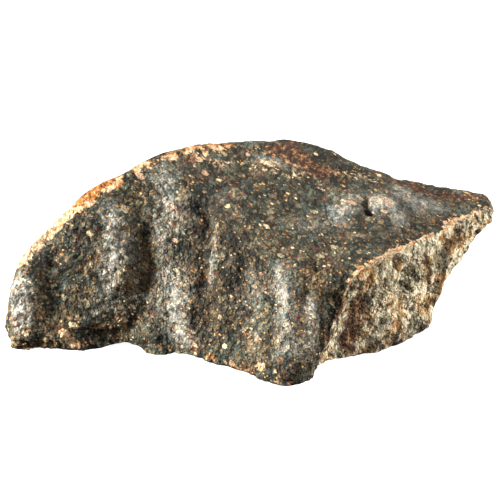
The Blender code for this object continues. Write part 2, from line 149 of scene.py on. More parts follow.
def through(points, sharp, steps):
    # Cubic Hermite curves through the points along axis 0: p(t) = h00 a + h10 ta + h01 b + h11 tb.
    # Each tangent leans to the nearer neighbour and is cut by (1 - sharp).
    ahead = points[2:] - points[1:-1]
    behind = points[1:-1] - points[:-2]
    far = np.linalg.norm(ahead, axis=-1, keepdims=True) + hair
    near = np.linalg.norm(behind, axis=-1, keepdims=True) + hair
    lean = behind * far / near + ahead * near / far
    lean /= np.linalg.norm(lean, axis=-1, keepdims=True) + hair
    lean *= (1 - sharp[1:-1])[..., None]
    pieces = []
    for i, count in enumerate(steps):
        start, end = points[i + 1], points[i + 2]
        length = np.linalg.norm(end - start, axis=-1, keepdims=True)
        t = (np.arange(count) / count).reshape((-1,) + (1,) * start.ndim)
        pieces.append((2 * t**3 - 3 * t**2 + 1) * start + (3 * t**2 - 2 * t**3) * end
                      + (t**3 - 2 * t**2 + t) * lean[i] * length + (t**3 - t**2) * lean[i + 1] * length)
    return np.concatenate(pieces)


def stoneRings(ringGap, pointsRound):
    # Surface of two parameters: Hermite curves along the stone through each feature line,
    # then round each slice through the lines. Returns the points and each column's line number.
    points = np.array([[(x, y, z) for y, z in ring] for x, ring in stone["sections"].items()], float)
    sharp = np.array([[pair[x > stone["breakX"]] for pair in stone["sharpness"]]
                      for x in stone["sections"]], float)
    count = points.shape[1]
    tips = [np.tile(stone[tip], (1, count, 1)) for tip in ("leftTip", "tailTip")]
    lines = np.concatenate([tips[0], points, tips[1]])
    lines = np.concatenate([2 * lines[:1] - lines[1:2], lines, 2 * lines[-1:] - lines[-2:-1]])
    edge = np.concatenate([sharp[:1], sharp[:1], sharp, sharp[-1:], sharp[-1:]])
    travel = np.linalg.norm(np.diff(lines[1:-1], axis=0), axis=-1).mean(axis=1)
    steps = np.maximum(1, np.round(travel / ringGap).astype(int))
    rings = through(lines, np.zeros_like(edge), steps)[1:]
    edge = through(edge[..., None], np.ones_like(edge), steps)[1:, :, 0]
    around = np.moveaxis(rings, 1, 0)
    around = np.concatenate([around[-1:], around, around[:2]])
    edge = np.moveaxis(edge, 1, 0)
    edge = np.concatenate([edge[-1:], edge, edge[:2]])
    widths = np.linalg.norm(np.diff(around[1:-1], axis=0), axis=-1).mean(axis=1)
    steps = np.maximum(2, np.round(widths / widths.sum() * pointsRound).astype(int))
    lineAt = np.concatenate([i + np.arange(n) / n for i, n in enumerate(steps)])
    return np.moveaxis(through(around, edge, steps), 0, 1), lineAt


def outward(grid):
    # Normal = (next point round - previous point round) x (next ring - previous ring), made unit
    along = np.gradient(grid, axis=0)
    roundRing = np.roll(grid, -1, axis=1) - np.roll(grid, 1, axis=1)
    normal = np.cross(roundRing, along)
    return normal / (np.linalg.norm(normal, axis=-1, keepdims=True) + hair)


def stroke(points, start, end, radius):
    # exp(-(d / radius)^2), with d the distance to the straight run from start to end
    start, run = np.array(start, float), np.array(end, float) - np.array(start, float)
    t = np.clip(((points - start) @ run) / (run @ run + hair), 0, 1)
    gap = np.linalg.norm(points - start - t[..., None] * run, axis=-1)
    return np.exp(-(gap / radius) ** 2)


def mainRelief(points):
    # Sum of height x stroke over the forms, plus seeded cosine waves weighted by their length
    height = np.zeros(points.shape[:-1])
    for start, end, radius, rise in forms.values():
        height += rise * stroke(points, start, end, radius)
    random = np.random.default_rng(ripples["seed"])
    heading = random.normal(size=(ripples["count"], 3))
    heading /= np.linalg.norm(heading, axis=1, keepdims=True)
    length = random.uniform(*ripples["lengths"], ripples["count"])
    phase = random.uniform(0, 2 * np.pi, ripples["count"])
    waves = np.cos(points @ (heading * 2 * np.pi / length[:, None]).T + phase)
    return height + ripples["height"] * waves @ (length / np.sqrt((length**2).sum() / 2))


def footprintMiddle():
    # Middle of the solid's bounding box, which stands over the origin
    grid, _ = stoneRings(stone["solidRingGap"], stone["solidPointsRound"])
    grid = grid + outward(grid) * mainRelief(grid)[..., None]
    corners = np.vstack([grid.reshape(-1, 3), [stone["leftTip"], stone["tailTip"]]])
    middle = (corners.min(axis=0) + corners.max(axis=0)) / 2
    return np.array([middle[0], middle[1], 0.0])


# The lattice that every noise stands on
lattice = {
    "primes": (73856093, 19349663, 83492791),  # one for each axis
    "seedPrime": 2654435761,
    "step": 0x9E3779B9,  # parts one random number of a cell from the next
    "mixer": 0x45D9F3B,
    "mask": 0xFFFFFFFF,  # keeps 32 bits
    "range": 0xFFFFFF,  # the 24 bits that become a number from 0 to 1
    "shift": 1000.0,  # keeps every cell number positive
    "gain": 1.7,  # brings gradient noise to about -1..1
    "knobMean": 0.4,  # average of the two layers of knobs
}


def latticeRandom(cell, seed, count):
    # Integer hash of a lattice cell: count numbers in 0..1 for each
    key = seed * lattice["seedPrime"]
    for axis, prime in enumerate(lattice["primes"]):
        key = key ^ (cell[..., axis] * prime)
    out = []
    for i in range(count):
        h = (key + (i + 1) * lattice["step"]) & lattice["mask"]
        for _ in range(2):
            h = ((h ^ (h >> 16)) * lattice["mixer"]) & lattice["mask"]
        out.append(((h ^ (h >> 16)) & lattice["range"]) / lattice["range"])
    return np.stack(out, axis=-1)


def softNoise(points, size, seed):
    # Gradient noise, about -1..1: quintic blend of eight lattice gradients
    p = points / size + lattice["shift"]
    cell = np.floor(p).astype(np.int64)
    f = p - cell
    w = f**3 * (f * (f * 6 - 15) + 10)
    total = np.zeros(points.shape[:-1])
    for corner in np.ndindex(2, 2, 2):
        c = np.array(corner)
        slope = latticeRandom(cell + c, seed, 3) * 2 - 1
        weight = np.prod(np.where(c, w, 1 - w), axis=-1)
        total += weight * ((f - c) * slope).sum(axis=-1)
    return total * lattice["gain"]


def wander(points, size, seeds):
    # Layered noise of its own seed along each axis: a small move for every point
    return np.stack([layeredNoise(points, size, seed) for seed in seeds], axis=-1)


def layeredNoise(points, size, seed, layers=3):
    # Sum of noise with size and height halved at each layer
    return sum(softNoise(points, size / 2**i, seed + i) / 2**i for i in range(layers))


def knobs(points, size, seed):
    # |noise| in two layers, the second half as large: round knobs with sharp creases between them
    layers = sum(np.abs(softNoise(points, size / 2**i, seed + i)) / 2**i for i in range(2))
    return layers - lattice["knobMean"]


def cells(points, size, seed):
    # Scattered centres, one in each lattice cell: distance to the nearest and the second
    # nearest in units of size, and the nearest one's two random numbers
    p = points / size + lattice["shift"]
    cell = np.floor(p).astype(np.int64)
    first = np.full(points.shape[:-1], np.inf)
    second = first.copy()
    pick = np.zeros(points.shape[:-1] + (2,))
    for step in np.ndindex(3, 3, 3):
        c = cell + np.array(step) - 1
        r = latticeRandom(c, seed, 5)
        d = np.linalg.norm(p - c - r[..., :3], axis=-1)
        closer = d < first
        second = np.where(closer, first, np.minimum(second, d))
        first = np.where(closer, d, first)
        pick = np.where(closer[..., None], r[..., 3:], pick)
    return first, second, pick


def ease(value, low, high):
    # Smoothstep 3t^2 - 2t^3 from 0 at low to 1 at high
    t = np.clip((value - low) / (high - low), 0, 1)
    return t * t * (3 - 2 * t)


# Where each kind of skin lies. Lines are numbered as the sections list them, crest 0 to nape 12
zones = {
    "wander": (3.0, 41),  # size and seed of the wandering of every edge
    "topEdge": ((-49, 0.0), (-21, 0.2), (-15, 0.9), (-10, 1.9), (-4, 2.8), (2, 3.0), (14, 3.3),
        (17, 4.0), (21, 4.9), (52, 5.0)),  # x, and the line where the smooth top ends
    "topEdgeSoft": 0.25,
    "topStart": (-24, -16),  # the smooth top begins over this x
    "breakLine": 5,  # the broken face begins at this line, the arris
    "breakSoft": (0.06, 0.5),  # how softly, and how much more on the toe
    "toeEnd": (16.5, 23),  # the toe gives way to the face over this x
    "breakWander": 0.9,
    "breakLastLines": (7.4, 8.2),  # the face ends over these lines
    "breakStart": (13.9, 15.1),  # and begins over this x
    "breakStartWander": 0.5,
    "backLine": 9,  # lines past this one are counted back from the crest
    "rimLines": (-1.2, -0.6, 0.9, 1.4),  # the worn rim grows over the first two, fades over the last two
    "rimEnd": (-18, -10),  # and ends over this x
}


def skinZones(points, lineAt):
    # Soft 0..1 masks on the grid: smoothstep of the line number, times smoothstep of x, for the
    # broken face, the smooth top and the worn rim
    x = points[..., 0]
    line = np.broadcast_to(lineAt, x.shape)
    jitter = layeredNoise(points, *zones["wander"])
    least, more = zones["breakSoft"]
    soft = least + more * (1 - ease(x, *zones["toeEnd"]))
    edge = zones["breakLine"]
    broken = ease(line + zones["breakWander"] * soft * jitter, edge - soft, edge + soft)
    broken *= 1 - ease(line, *zones["breakLastLines"])
    broken *= ease(x + zones["breakStartWander"] * jitter, *zones["breakStart"])
    front = np.where(line > zones["backLine"], line - len(stone["sharpness"]), line)
    edgeX, edgeLine = np.array(zones["topEdge"]).T
    soft = zones["topEdgeSoft"]
    top = 1 - ease(front - np.interp(x, edgeX, edgeLine) + soft * jitter, -soft, soft)
    top *= ease(x, *zones["topStart"])
    a, b, c, d = zones["rimLines"]
    rim = ease(front, a, b) * (1 - ease(front, c, d)) * (1 - ease(x, *zones["rimEnd"]))
    return broken, np.clip(top, 0, 1), rim


# Painted marks in millimetres: the points a mark runs through, then its radius and strength
stains = {
    "cream": [
        ((-47, 0, 15), (-44.4, 3, 19.2), (-41.6, 5.2, 21.2), (-39.1, 6.4, 23.2),
         (-37.2, 7.2, 25), 1.7, 1.0),
        ((-37.2, 6, 24.4), (-34.4, 6.1, 25.8), (-31.6, 7, 27.1), (-29.4, 8.6, 28.7),
         (-27, 10.8, 30.4), 0.75, 1.3),
        ((-23.8, 12, 31.5), (-17.6, 14.4, 33.6), (-11.4, 16.4, 34.7), (-5, 17.6, 35.6), 1.2, 0.78),
        ((21, -14, 18.2), (25, -10.9, 19.9), (33, -2.8, 20.8), (40, 3.5, 21.9), (46, 9, 23.1),
         (50, 11.5, 24), 0.75, 1.2),
        ((-15, 14, 32.4), (-11.3, 15, 33.3), (-9, 15.4, 33.7), 0.9, 0.8),
        ((-4, 16, 34.6), (2.5, 15, 33.4), (8, 13.6, 32), (14.2, 11.9, 30.6), 0.6, 0.5),
        ((3.5, 17.1, 34.9), (8.8, 14.5, 32.6), (12, 12.9, 31.3), 0.5, 0.65),
        ((-3, 18.4, 35.9), (3, 17.8, 35.4), 0.5, 0.6),
        ((0, 13.6, 32.6), (9, 11, 30.4), 0.5, 0.55),
        ((-9, 15, 33.4), (2, 14.4, 33), (16, 9, 29), 3.0, 0.4),
        ((13, 14.5, 32), (19, 12.8, 30.6), (26, 12.6, 29.6), 1.8, 0.5),
        ((-37.8, -8.1, 3), (-35.9, -8.7, 1.2), 1.1, 1.4),
        ((18.5, 4.6, 26.6), (23, 6.6, 27.4), (28.6, 5, 26.6), 2.2, 0.55),
        ((6, -22, 4), (2, -23, 2.5), 1.6, 0.75),
        ((26.8, -9, 16.5), (28.8, -6.7, 12), 2.0, 1.1),
        ((33.5, -2.6, 17), (33, -2.8, 12), 1.5, 0.6),
        ((30, -6, 4.5), (35, -1.4, 4.2), 1.6, 0.5),
        ((40, 5, 22), (44, 9, 24), 1.2, 0.6),
        ((10, 30, 22), (20, 31, 14), 4.0, 0.5),
        ((-30, 21, 20), (-22, 26, 12), 3.5, 0.55),
    ],
    "orange": [
        ((-24, 12.4, 31.8), (-17.6, 14.8, 33.8), (-11, 16.8, 35), (-4, 18.2, 35.9), 1.6, 0.75),
        ((-36, 7.2, 25.8), (-32.9, 8.2, 27.6), (-30.4, 9.4, 28.9), (-28, 10.6, 30.1), 2.1, 1.2),
        ((-21, 13.4, 33), (-14.7, 15.6, 34), 1.2, 0.7),
        ((-2.9, -0.4, 22.8), (2.5, -3.7, 20.9), 1.6, 0.4),
        ((5, -6.6, 19.6), (9, -10, 17.7), (10.9, -13.8, 15.2), 2.0, 0.36),
        ((6.1, -6.2, 19.9), (12.2, -8.7, 19.3), (17.1, -11.2, 18.9), 2.2, 0.46),
        ((18, -15, 12), (21, -14, 17.6), (25, -10.9, 19.3), (33, -2.8, 20.2), (40, 3.5, 21.3),
         (50, 11.5, 23.4), 0.9, 0.45),
        ((22.4, -12.8, 19.6), (22.7, -12, 14.3), (20.6, -12, 9.4), (17, -14, 4), 1.5, 0.75),
        ((24, -10.6, 17), (30, -5, 18.8), 1.0, 0.3),
        ((-24, -8, 1.4), (-18, -11, 1.2), (-12, -12, 1), 0.9, 0.45),
        ((-12, -12, 1), (-4, -17.8, 1), (4, -25, 1), 0.9, 0.55),
        ((-36, 16, 17), (-28, 22, 10), 3.0, 0.5),
        ((24, 28, 16), (28, 24, 8), 3.0, 0.6),
    ],
    "rust": [
        ((5, 17.6, 35), (9.7, 16.2, 33.8), (12.2, 14.6, 32.4), (15.5, 12.4, 30.8), 2.3, 1.0),
        ((31.6, 14.5, 28.2), (38, 16, 26), (46, 15.4, 25.5), 2.2, 1.0),
        ((-14, 14.2, 32.6), (-12, 14.9, 33.2), 1.2, 0.9),
        ((-10, 6.4, 24), (-9.9, 1.7, 20.3), 1.2, 0.6),
        ((22, -11, 11), (21.8, -11, 6.4), (20.6, -12, 2.8), 2.3, 1.3),
        ((20.4, -14.2, 16.5), (19.2, -14.5, 13.4), (17.4, -15, 9), (15.8, -15.6, 4.8), 1.2, 0.85),
        ((-34, -8, 4), (-27.5, -7, 3), 1.2, 0.6),
        ((4, 30, 26), (14, 32, 18), 4.0, 0.7),
    ],
    # Pale marks: paler worn crust on the ridges, and a painted sheen on the ridge slopes that face the left
    # lamp, along the ridge behind the pit and round the pit's mound
    "wearAndSheen": [
        ((-24.5, 5, 23), (-23.6, 1, 16), (-23.6, -4, 9), 1.7, 0.22),
        ((-43, 3.2, 19), (-42.4, 0.8, 15.6), 1.5, 0.5),
        ((-47, -3.2, 12.2), (-47.1, -7.7, 5.8), 2.4, 1.3),
        ((-29.2, 5.2, 24.4), (-27.9, 1.2, 18.3), (-28.9, -2.6, 12), 2.4, 1.15),
        ((-28.9, -2.6, 12), (-30.2, -5.8, 6.6), 2.0, 0.5),
        ((-18, 11.2, 30.2), (-17.1, 8.4, 25.6), (-17.9, 4.8, 20.9), 2.6, 1.0),
        ((-15.1, 11.8, 29.6), (-14.6, 8.7, 25.5), (-15.4, 5.8, 21.9), 2.0, 0.7),
        ((-18.3, 4.2, 20.2), (-18.2, 0.8, 15.8), 1.8, 0.5),
        ((-17, -1.1, 13.4), (-15.2, -5.2, 8.6), (-13.8, -9.4, 3.4), 3.0, 1.0),
        ((-7.8, 1.9, 22), (-7.4, -2.3, 18.4), (-8.2, -4.6, 14.7), 1.1, 1.0),
        ((6.1, -9.8, 17), (7, -16.2, 11.8), (7.6, -23.2, 5), 2.2, 1.0),
        ((0.4, -8.7, 16.5), (1.2, -14.3, 11), (1.6, -20.4, 4.8), 2.0, 0.35),
        ((12, -15.8, 13.6), (12, -19.1, 9.7), (11.2, -22.2, 6.4), 1.4, 1.3),
        ((17.4, 1.6, 25.4), (21.1, 4.8, 26.9), (23.4, 6.1, 27.1), 2.2, 0.9),
        ((25.7, 5.7, 26.8), (28.6, 5, 26.6), (30.1, 2.9, 25.1), 2.4, 1.1),
        ((32.2, 9.8, 28), (34.6, 8.6, 26.2), (38.1, 9.8, 24.9), 2.6, 0.9),
        ((30, 16, 28.8), (31.4, 12, 28.4), (32.6, 10.2, 27.9), (35.5, 9.1, 26.1), 0.7, 1.0),
        ((10.3, 0.4, 24), (16.4, 0.6, 24.6), 2.0, 0.3),
        ((-0.8, 16.9, 35), (2.5, 15.4, 33.7), (6.3, 14, 32.4), 0.9, 0.6),
    ],
    # Dark marks: dark olive zones on the top, and painted shade in the hollows between the ridges, in the
    # pit, under the left undercut and on the toe's flank that turns from the left lamp, with a painted
    # shadow along the foot of the toe and of the broken face
    "dark": [
        ((-42, 2.1, 18.4), (-42.4, -2.8, 12.1), (-42.5, -7.3, 5), 1.9, 0.15),
        ((-8, 9.4, 28), (-6.6, 4.4, 24.6), 2.2, 0.7),
        ((-39, 3.2, 20.2), (-35.2, 4, 22.8), (-34, -0.7, 16.3), (-35.4, -5.4, 8.6), 3.4, 0.5),
        ((-35, -8.2, 3), (-31, -7.8, 2.6), (-27, -7, 2), 1.3, 0.45),
        ((-25, 7.1, 26.1), (-24, 3, 19.8), (-24, -0.4, 14.5), 1.8, 0.15),
        ((-24.2, -1.8, 12.3), (-23.9, -5, 7.4), (-25.1, -7.1, 2.5), 2.0, 0.3),
        ((-12.6, 13.4, 31.3), (-10.6, 8.7, 26.6), (-10.3, 2, 20.2), 1.9, 0.9),
        ((-10.3, 2, 20.2), (-10.3, -3.8, 13.5), (-9.8, -10.5, 5.2), 1.9, 0.95),
        ((-7.4, -6.4, 13.4), (-5.7, -11.5, 8.8), 2.2, 0.6),
        ((-4.9, -1.4, 21.4), (-1.2, -5.3, 19.3), (-3.7, -9, 14.2), 2.8, 1.05),
        ((-12.6, 13.4, 31.3), (-9.4, 10.1, 28.4), (-2.1, 5.4, 26.6), 3.4, 0.45),
        ((2.1, 9.7, 29.6), (10.4, 6.4, 27.4), (16.7, 8.7, 28.8), 3.4, 0.3),
        ((9.6, -15.6, 13.2), (9.8, -22.1, 6.6), 0.8, 0.6),
        ((23.6, 5.8, 27.4), (24.7, 3, 26), 0.9, 0.8),
        ((15.3, -13.2, 16.4), (14.9, -16, 10.6), (14.1, -17.3, 2), 1.6, 0.55),
        ((2.4, -24.1, 0.4), (6.9, -26.4, 0.9), (9.9, -25.7, 1), 0.8, 0.9),
        ((21.8, -11.2, 10.4), (21.6, -11.2, 7), (20.4, -11.9, 3.4), 2.5, 1.25),
        ((19.3, -12.8, 1), (24.9, -10.6, 1.2), (31, -5.1, 1), (36.5, 0, 2.7), 2.0, 0.75),
        ((25.2, -10.6, 6), (28, -7.6, 5), 1.4, 0.6),
        ((31.9, -3.8, 11.8), (30, -5.4, 9.2), 1.2, 1.0),
        ((25.4, -9.7, 14.4), (24.6, -10, 11), 1.1, 0.9),
        ((35, -1.2, 17.6), (36.5, -0.2, 15), 1.2, 0.6),
        ((25, -10.6, 17.4), (29, -6.9, 18), (33, -2.8, 18.4), (37, 0.7, 18.8),
         (40, 3.2, 19.2), 0.8, 0.5),
        ((44.2, 7.4, 21.4), (41.6, 4.3, 18.4), (39, 1.7, 14.4), 2.0, 0.7),
    ],
    "teal": [
        ((-37.9, 3.4, 20.8), (-36.7, 3.4, 21.3), 0.9, 1.0),
        ((-28.7, 7.8, 27.6), (-26.2, 8.3, 27.9), 0.7, 0.8),
        ((7.8, -8.8, 18.4), (8.5, -9.7, 17.9), 0.9, 1.6),
        ((-16.8, 13.7, 32.7), (-15.9, 13.5, 32.1), 0.7, 0.9),
    ],
}
stainWander = {"size": 3.0, "reach": 0.9, "seeds": (51, 61, 71)}


def paint(points, marks):
    # Largest strength x stroke over every run of every mark
    runs = [strength * stroke(points, a, b, radius) for *path, radius, strength in marks
            for a, b in zip(path[:-1], path[1:])]
    return np.max(runs, axis=0)


relief = {
    "sway": (6.5, 1.5, (81, 91, 101)),  # size, reach and seeds of the wandering of the ridges
    "lump": (5.0, 0.62, 3),  # size, height and seed of soft lumps
    "lumpLayers": 2,
    "grit": (1.7, 0.62, 7),  # size, height and seed of coarse grit
    "gritOnBreak": 0.45,  # how much less of it the broken face has
    "grain": (1.9, 0.25, 5),  # spacing, height and seed of standing grains
    "grainBend": (0.475, 9),  # how far they are moved, and seed
    "grainRadius": (0.22, 0.28),  # least, and what chance adds, in units of the spacing
    "grainless": 0.45,  # share of the cells with no grain
    "chip": (3.4, 0.38, 15),  # size, depth and seed of chips on the broken face
    "chipBend": (2.0, 0.8, 13),  # size, reach and seed of their bent outlines
    "chipEdge": (0.0, 0.5),  # a chip rises over this gap between its centre and the next
    "chipShares": (0.5, 0.5, 0.6),  # of the rise, of chance, and what both are lowered by
    "topShare": 0.40,  # how much of the relief the smooth top keeps
    "rimShare": 0.20,  # how much the worn rim keeps
    "crater": ((24.2, 4.8, 27.2), (24.8, 2.8, 25.8), 1.8, 0.40),
    "pit": ((23.6, 5.9, 27.6), (24.8, 2.9, 25.9), 0.80, 1.70),
    "pitBend": (1.2, 0.5, 21),  # size, reach and seed of the bent outlines of both
}


def bentBy(points, size, reach, seed):
    # Points moved along the diagonal by reach x noise
    return points + reach * softNoise(points, size, seed)[..., None]


def fineRelief(points, broken, top, rim):
    # Lumps + grit + domed grains sqrt(1 - (d / r)^2) + chips - pits, each scaled by how rough
    # that part of the skin is
    rough = (1 - (1 - relief["topShare"]) * top) * (1 - (1 - relief["rimShare"]) * rim)
    size, height, seed = relief["lump"]
    out = height * layeredNoise(points, size, seed, relief["lumpLayers"]) * rough
    size, height, seed = relief["grit"]
    out += height * knobs(points, size, seed) * (rough - relief["gritOnBreak"] * broken)

    size, height, seed = relief["grain"]
    reach, bendSeed = relief["grainBend"]
    first, _, pick = cells(bentBy(points, size, reach, bendSeed), size, seed)
    least, more = relief["grainRadius"]
    radius = least + more * pick[..., 0]
    dome = np.sqrt(np.clip(1 - (first / radius) ** 2, 0, 1))
    out += height * dome * (pick[..., 1] > relief["grainless"]) * rough

    size, height, seed = relief["chip"]
    first, second, pick = cells(bentBy(points, *relief["chipBend"]), size, seed)
    rise, chance, lower = relief["chipShares"]
    rising = ease(second - first, *relief["chipEdge"])
    out += height * broken * (rising * rise + chance * pick[..., 0] - lower)

    bent = bentBy(points, *relief["pitBend"])
    for name in ("crater", "pit"):
        start, end, radius, depth = relief[name]
        out -= depth * stroke(bent, start, end, radius)
    return out


def placed(name, data):
    # A new object in the scene
    piece = bpy.data.objects.new(name, data)
    bpy.context.scene.collection.objects.link(piece)
    return piece


def skinFaces(rings, around):
    # Quads (i, j), (i, j + 1), (i + 1, j + 1), (i + 1, j) round the grid, and a fan to each tip
    i, j = np.meshgrid(np.arange(rings - 1), np.arange(around), indexing="ij")
    k = (j + 1) % around
    here, ahead = i * around, (i + 1) * around
    quads = np.stack([here + j, here + k, ahead + k, ahead + j], -1).reshape(-1, 4)
    a = np.arange(around)
    b = (a + 1) % around
    last = (rings - 1) * around
    leftTip, tailTip = rings * around, rings * around + 1
    leftFan = np.stack([np.full(around, leftTip), b, a], -1)
    tailFan = np.stack([np.full(around, tailTip), last + a, last + b], -1)
    return quads.tolist() + leftFan.tolist() + tailFan.tolist()


def stoneSkin():
    # The finished skin: sections + swells and hollows + fine relief, in metres, resting on z = 0
    grid, lineAt = stoneRings(stone["skinTravel"] / stone["rings"], stone["pointsRound"])
    size, reach, seeds = relief["sway"]
    sway = reach * np.stack([softNoise(grid, size, seed) for seed in seeds], axis=-1)
    grid = grid + outward(grid) * mainRelief(grid + sway)[..., None]
    broken, top, rim = skinZones(grid, lineAt)
    moved = grid + stainWander["reach"] * wander(grid, stainWander["size"], stainWander["seeds"])
    masks = {"broken": broken, "top": top, **{name: paint(moved, marks) for name, marks in stains.items()}}
    grid = grid + outward(grid) * fineRelief(grid, broken, top, rim)[..., None]
    print("skin grid:", grid.shape[0], "rings of", grid.shape[1], "points")
    places = np.vstack([grid.reshape(-1, 3), [stone["leftTip"], stone["tailTip"]]])
    places[:, 2] = np.maximum(places[:, 2], 0)
    mesh = bpy.data.meshes.new("stoneSkin")
    mesh.from_pydata(((places - footprintMiddle()) * mm).tolist(), [], skinFaces(*grid.shape[:2]))
    mesh.shade_smooth()
    for name, values in masks.items():
        values = np.append(values.reshape(-1), [values[0].mean(), values[-1].mean()])
        mesh.attributes.new(name, "FLOAT", "POINT").data.foreach_set("value", values.astype(np.float32))
    return placed("stoneSkin", mesh)


# The finish is one tree of nodes, which the functions below add to
weathered = bpy.data.materials.new("weatheredStone")
weathered.use_nodes = True
tree = weathered.node_tree


def addNode(kind, inputs=None, **settings):
    # A node with its settings; each input is linked if it is a socket, and set if it is a value
    new = tree.nodes.new(kind)
    for name, value in settings.items():
        setattr(new, name, value)
    for name, value in (inputs or {}).items():
        if isinstance(value, bpy.types.NodeSocket):
            tree.links.new(value, new.inputs[name])
        else:
            new.inputs[name].default_value = value
    return new


def reckon(a, b, how):
    # One step of arithmetic on a and b, named as the node names it
    return addNode("ShaderNodeMath", {0: a, 1: b}, operation=how).outputs[0]


def plus(*terms):
    # Sum of the terms
    out = terms[0]
    for term in terms[1:]:
        out = reckon(out, term, "ADD")
    return out


def minus(a, b):
    # a - b
    return reckon(a, b, "SUBTRACT")


def product(*factors):
    # Product of the factors
    out = factors[0]
    for factor in factors[1:]:
        out = reckon(out, factor, "MULTIPLY")
    return out


def less(value, *shares):
    # value x (1 - product of the shares)
    return product(value, minus(1.0, product(*shares)))


def fade(value, low, high, bottom=0.0, top=1.0):
    # Smoothstep between low and high, carried to bottom..top
    inputs = {"Value": value, "From Min": low, "From Max": high, "To Min": bottom, "To Max": top}
    return addNode("ShaderNodeMapRange", inputs, interpolation_type="SMOOTHSTEP").outputs[0]


def blendColour(share, a, b, how="MIX"):
    # a x (1 - share) + b x share, or a with b laid on it in the named way
    return addNode("ShaderNodeMix", {0: share, 6: a, 7: b}, data_type="RGBA", blend_type=how).outputs[2]


def tinted(colour, shade):
    # Colour times a grey factor, which may pass 1
    return addNode("ShaderNodeVectorMath", {0: colour, 3: shade}, operation="SCALE").outputs[0]


def srgb(red, green, blue):
    # Screen colour 0..255 to linear light: v / 12.92 when dark, else ((v + 0.055) / 1.055)^2.4
    def linear(v):
        v /= 255
        return v / 12.92 if v <= 0.04045 else ((v + 0.055) / 1.055) ** 2.4
    return (linear(red), linear(green), linear(blue), 1.0)


def colourRamp(value, stops, how="LINEAR"):
    # Colours blended between the stops, each a place from 0 to 1 and a screen colour
    node = addNode("ShaderNodeValToRGB", {0: value})
    ramp = node.color_ramp
    ramp.interpolation = how
    while len(ramp.elements) < len(stops):
        ramp.elements.new(1.0)
    for element, (place, colour) in zip(ramp.elements, stops):
        element.position = place
        element.color = srgb(*colour)
    return node.outputs[0]


def noiseAt(where, size, detail=3.0, rough=0.55, output="Fac"):
    # Noise with features about size mm across; where is in millimetres
    return addNode("ShaderNodeTexNoise", {"Vector": where, "Scale": 1 / size, "Detail": detail,
                                          "Roughness": rough}).outputs[output]


def bend(where, size, reach):
    # where + reach x (noise colour - 0.5), so that outlines turn ragged
    move = noiseAt(where, size, 2.0, output="Color")
    move = addNode("ShaderNodeVectorMath", {0: move, 1: (0.5, 0.5, 0.5)}, operation="SUBTRACT").outputs[0]
    move = tinted(move, reach)
    return addNode("ShaderNodeVectorMath", {0: where, 1: move}, operation="ADD").outputs[0]


def drawnOut(where, turn, stretch):
    # Places turned and stretched, so that a pattern read there lies along a slope
    return addNode("ShaderNodeMapping", {"Vector": where, "Rotation": turn, "Scale": stretch},
                   vector_type="TEXTURE").outputs[0]


# Where patterns are read, in millimetres: each place is made from an earlier one
places = {
    "bent": (bend, "plain", 0.6, 0.55),  # size and reach
    "ragged": (bend, "plain", 1.6, 2.2),
    "flow": (drawnOut, "bent", (0.0, 0.3, -0.52), (1.6, 0.85, 0.9)),  # turn and stretch
    "streaks": (drawnOut, "bent", (0.0, 0.3, -0.52), (3.4, 0.8, 0.8)),
    "steep": (drawnOut, "plain", (0.0, 0.3, 0.0), (0.9, 0.9, 1.3)),
    "drops": (bend, "flow", 1.2, 0.5),
    "faceTone": (bend, "steep", 1.5, 1.4),
    "faceDepth": (bend, "steep", 1.5, 1.8),
}

# Noises: place, size in millimetres, detail, roughness
noises = {
    "wide": ("plain", 4.0, 5.0, 0.62),
    "close": ("plain", 1.0, 4.0, 0.68),
    "tiny": ("plain", 0.32, 2.0, 0.6),
    "mottle": ("ragged", 2.2, 4.0, 0.66),
    "blotches": ("ragged", 3.4, 5.0, 0.62),
    "tinge": ("ragged", 6.0, 4.0, 0.6),
    "streaks": ("streaks", 1.1, 4.0, 0.66),
    "faceTone": ("faceTone", 3.6, 3.0, 0.55),
    "faceDepth": ("faceDepth", 3.0, 4.0, 0.60),
    "facePits": ("bent", 1.3, 3.0, 0.6),
}

# What the finish reads: places, and the masks painted on the skin with the noises
at = {"plain": tinted(addNode("ShaderNodeTexCoord").outputs["Object"], 1 / mm)}
for name, (way, source, *how) in places.items():
    at[name] = way(at[source], *how)
has = {name: addNode("ShaderNodeAttribute", attribute_name=name).outputs["Fac"]
       for name in ("broken", "top", *stains)}
for name, (place, *how) in noises.items():
    has[name] = noiseAt(at[place], *how)

# Grains: place, size, share of the cells, radius, spread, colours, how much they cover what is
# under them, how much less on the top, and how dark an outline they have
grains = {
    "largePatches": ("ragged", 4.2, 0.60, 0.40, 0.30, "patches", 0.55, 0.35, 0),
    "patches": ("ragged", 2.4, 0.60, 0.40, 0.30, "patches", 0.65, 0.35, 0),
    "smallPatches": ("bent", 1.15, 0.55, 0.28, 0.30, "patches", 0.75, 0.30, 0),
    "fineGrains": ("bent", 0.55, 0.50, 0.34, 0.28, "grains", 0.60, 0, 0),
    "smallDrops": ("drops", 1.9, 0.46, 0.12, 0.24, "chondrules", 0.78, 0, 0.5),
    "largeDrops": ("drops", 3.3, 0.42, 0.10, 0.18, "chondrules", 0.78, 0, 0.5),
    "specks": ("flow", 0.70, 0.40, 0.12, 0.26, "specks", 0.90, 0, 0),
    "faceCoarse": ("ragged", 1.7, 0.55, 0.34, 0.30, "faceGrains", 0.60, 0, 0),
    "faceFine": ("bent", 0.62, 0.40, 0.24, 0.30, "faceGrains", 0.55, 0, 0),
}

